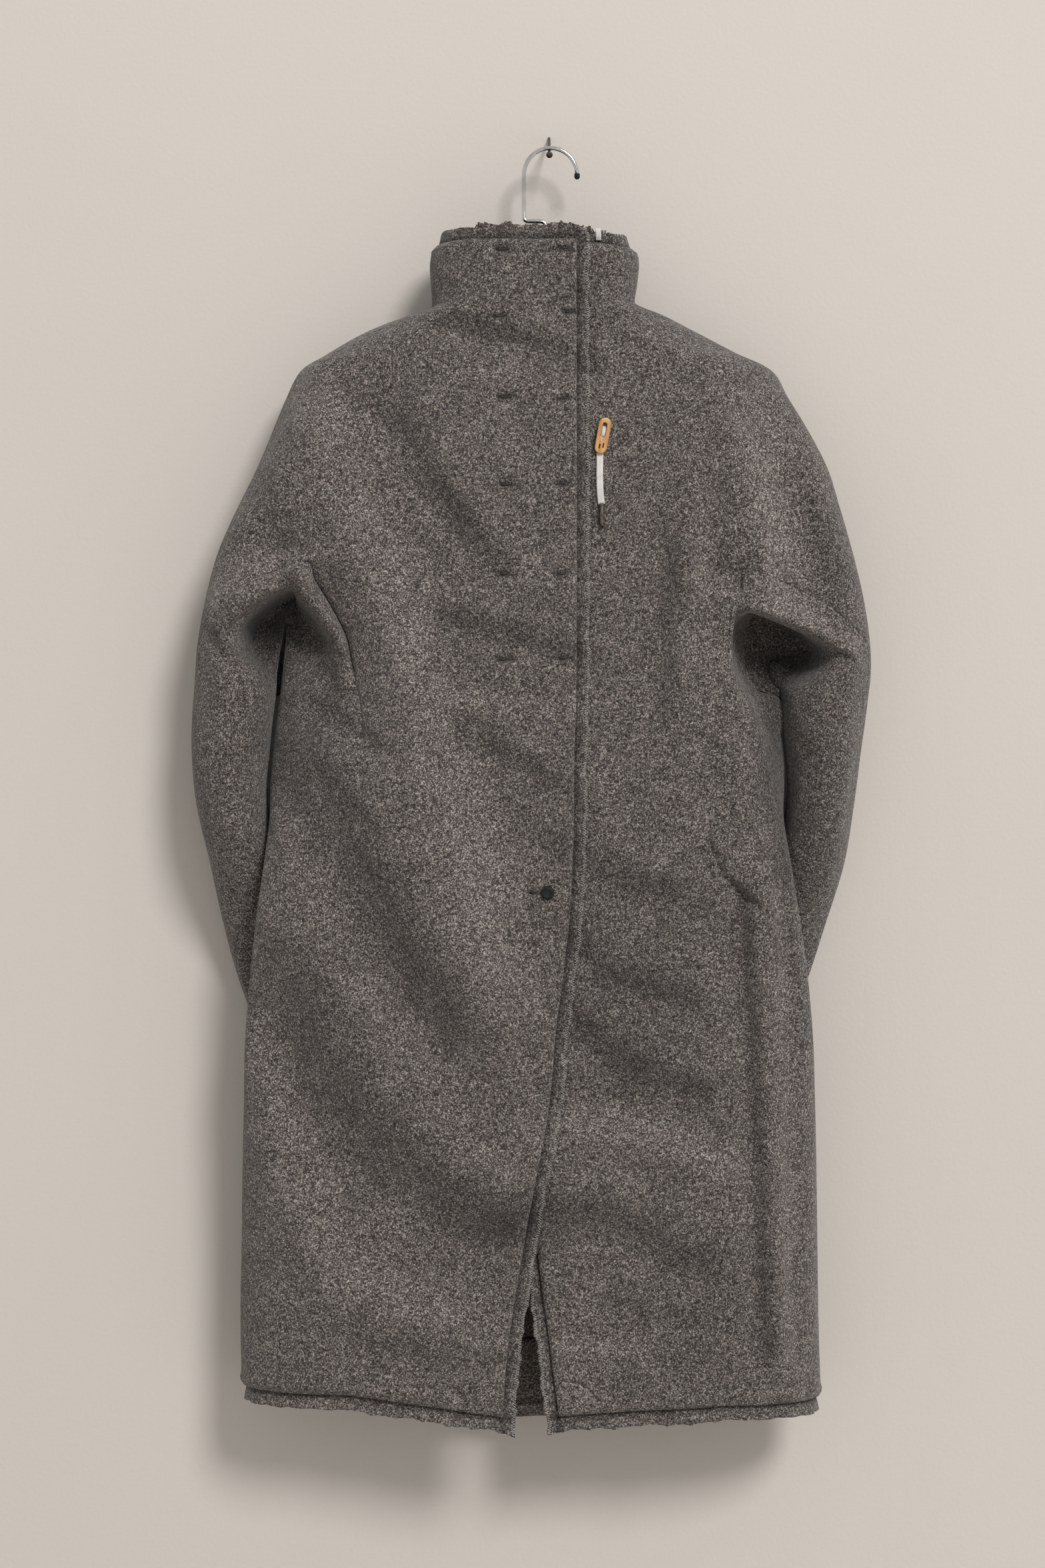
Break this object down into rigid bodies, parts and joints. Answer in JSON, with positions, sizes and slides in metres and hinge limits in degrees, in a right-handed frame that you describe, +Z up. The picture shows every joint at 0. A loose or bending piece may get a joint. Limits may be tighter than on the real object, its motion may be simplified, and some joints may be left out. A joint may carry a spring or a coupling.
{
  "type": "wool coat on wall hook",
  "caption": "Knee-length batwing wool coat with a stand collar and lapped front, hanging from a wire-hook hanger on a nail.",
  "frame": {"origin": "where the nail enters the wall", "axes": "+Z up, +Y into the wall, +X to the right seen from the room"},
  "size_m": [0.6065, 0.1417, 1.1688],
  "materials": {
    "wool": "fulled marled grey wool",
    "chrome": "polished",
    "steel": "dark burnished",
    "hanger": "matt black",
    "wood": "oiled honey-coloured",
    "lace": "white flat braid",
    "dark_cap": "satin black",
    "lace_metal": "dark burnished"
  },
  "bodies": {
    "root": {"front_right": "wool", "front_left": "wool", "back": "wool", "side_right": "wool", "side_left": "wool", "inner_front_right": "wool", "inner_front_left": "wool", "inner_back_collar": "wool", "inner_back_hem": "wool", "hook_wire": "chrome", "nail": "steel", "hanger": "hanger", "toggle": "wood", "lace": "lace", "neck_lace": "lace", "snap": "dark_cap", "hook_tip": "dark_cap", "lace_tip": "lace_metal"}
  },
  "joints": []
}
